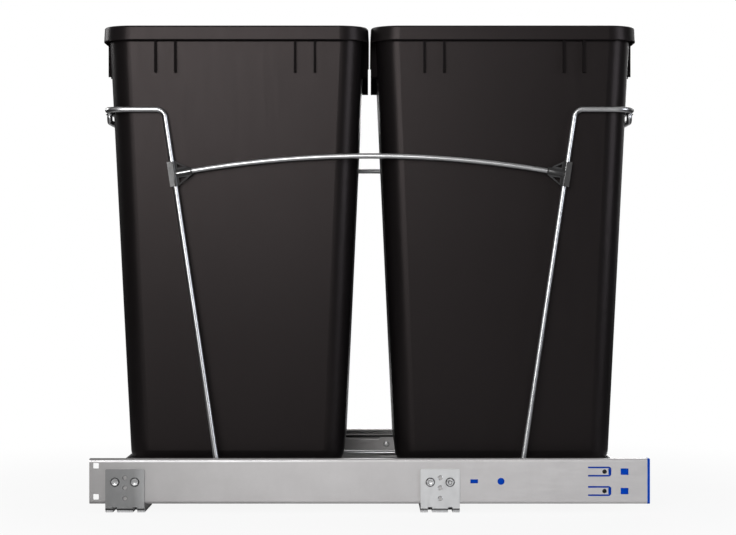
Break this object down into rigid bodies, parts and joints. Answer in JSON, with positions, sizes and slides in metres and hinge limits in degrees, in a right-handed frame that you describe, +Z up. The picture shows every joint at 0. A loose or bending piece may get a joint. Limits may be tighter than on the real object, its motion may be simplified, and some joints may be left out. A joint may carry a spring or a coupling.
{
  "type": "pull-out waste bin unit",
  "caption": "Pull-out unit for a base cabinet: open bins stand in a chrome wire frame that runs on telescopic ball-bearing slides with soft-close units and floor brackets.",
  "frame": {"origin": "on the cabinet floor, under the middle of the closed unit's box", "axes": "X along the slides with the pull-out direction towards -X, Y across, +Z up"},
  "size_m": [0.559, 0.3742, 0.4885],
  "materials": {
    "slide_steel": "zinc-plated cold-rolled steel",
    "bracket_steel": "zinc-plated steel, dull",
    "chrome_wire": "bright chrome plate",
    "black_plastic": "moulded, fine satin texture",
    "grey_plastic": "moulded, satin",
    "blue_plastic": "moulded, satin",
    "ball_steel": "ground and polished",
    "screw_steel": "zinc-plated"
  },
  "bodies": {
    "cabinet_fixed": {"right_outer_member": "slide_steel", "right_front_bracket": "bracket_steel", "right_rear_bracket": "bracket_steel", "right_bracket_screws": "screw_steel", "right_damper_housing": "blue_plastic", "right_damper_cylinder": "slide_steel", "right_damper_screws": "screw_steel", "left_outer_member": "slide_steel", "left_front_bracket": "bracket_steel", "left_rear_bracket": "bracket_steel", "left_bracket_screws": "screw_steel", "left_damper_housing": "blue_plastic", "left_damper_cylinder": "slide_steel", "left_damper_screws": "screw_steel"},
    "pull_out_frame": {"right_inner_member": "slide_steel", "right_arch": "chrome_wire", "right_front_connector": "grey_plastic", "right_rear_connector": "grey_plastic", "right_rail": "chrome_wire", "right_frame_carriers": "slide_steel", "right_carrier_rivets": "screw_steel", "right_catch_pin": "screw_steel", "left_inner_member": "slide_steel", "left_arch": "chrome_wire", "left_front_connector": "grey_plastic", "left_rear_connector": "grey_plastic", "left_rail": "chrome_wire", "left_frame_carriers": "slide_steel", "left_carrier_rivets": "screw_steel", "left_catch_pin": "screw_steel", "front_hoop": "chrome_wire", "rear_hoop": "chrome_wire", "front_lower_wire": "chrome_wire", "rear_lower_wire": "chrome_wire", "cross_wires": "chrome_wire", "front_end_wire": "chrome_wire", "rear_end_wire": "chrome_wire"},
    "front_bin": {"front_bin": "black_plastic"},
    "rear_bin": {"rear_bin": "black_plastic"},
    "right_intermediate": {"right_intermediate_member": "slide_steel"},
    "right_outer_cage": {"right_outer_ball_cage": "slide_steel", "right_outer_balls": "ball_steel"},
    "right_inner_cage": {"right_inner_ball_cage": "grey_plastic", "right_inner_balls": "ball_steel"},
    "right_catch": {"right_closing_catch": "grey_plastic", "right_damper_rod": "ball_steel"},
    "left_intermediate": {"left_intermediate_member": "slide_steel"},
    "left_outer_cage": {"left_outer_ball_cage": "slide_steel", "left_outer_balls": "ball_steel"},
    "left_inner_cage": {"left_inner_ball_cage": "grey_plastic", "left_inner_balls": "ball_steel"},
    "left_catch": {"left_closing_catch": "grey_plastic", "left_damper_rod": "ball_steel"}
  },
  "joints": [
    {"name": "pull_out", "type": "slide", "parent": "cabinet_fixed", "child": "pull_out_frame", "axis": [-1, 0, 0], "range_m": [0, 0.55]},
    {"name": "front_bin_lift", "type": "slide", "parent": "pull_out_frame", "child": "front_bin", "axis": [0, 0, 1], "range_m": [0, 0.46]},
    {"name": "rear_bin_lift", "type": "slide", "parent": "pull_out_frame", "child": "rear_bin", "axis": [0, 0, 1], "range_m": [0, 0.46]},
    {"name": "right_intermediate_slide", "type": "slide", "parent": "cabinet_fixed", "child": "right_intermediate", "axis": [-1, 0, 0], "range_m": [0, 0.275]},
    {"name": "right_outer_cage_slide", "type": "slide", "parent": "cabinet_fixed", "child": "right_outer_cage", "axis": [-1, 0, 0], "range_m": [0, 0.1375]},
    {"name": "right_inner_cage_slide", "type": "slide", "parent": "cabinet_fixed", "child": "right_inner_cage", "axis": [-1, 0, 0], "range_m": [0, 0.4125]},
    {"name": "right_catch_slide", "type": "slide", "parent": "cabinet_fixed", "child": "right_catch", "axis": [-1, 0, 0], "range_m": [0, 0.04], "stiffness_N_per_m": 150, "springref_m": -0.02},
    {"name": "left_intermediate_slide", "type": "slide", "parent": "cabinet_fixed", "child": "left_intermediate", "axis": [-1, 0, 0], "range_m": [0, 0.275]},
    {"name": "left_outer_cage_slide", "type": "slide", "parent": "cabinet_fixed", "child": "left_outer_cage", "axis": [-1, 0, 0], "range_m": [0, 0.1375]},
    {"name": "left_inner_cage_slide", "type": "slide", "parent": "cabinet_fixed", "child": "left_inner_cage", "axis": [-1, 0, 0], "range_m": [0, 0.4125]},
    {"name": "left_catch_slide", "type": "slide", "parent": "cabinet_fixed", "child": "left_catch", "axis": [-1, 0, 0], "range_m": [0, 0.04], "stiffness_N_per_m": 150, "springref_m": -0.02}
  ],
  "couplings": [
    {"joint": "right_intermediate_slide", "follows": "pull_out", "ratio": 0.5},
    {"joint": "right_outer_cage_slide", "follows": "pull_out", "ratio": 0.25},
    {"joint": "right_inner_cage_slide", "follows": "pull_out", "ratio": 0.75},
    {"joint": "left_intermediate_slide", "follows": "pull_out", "ratio": 0.5},
    {"joint": "left_outer_cage_slide", "follows": "pull_out", "ratio": 0.25},
    {"joint": "left_inner_cage_slide", "follows": "pull_out", "ratio": 0.75}
  ]
}
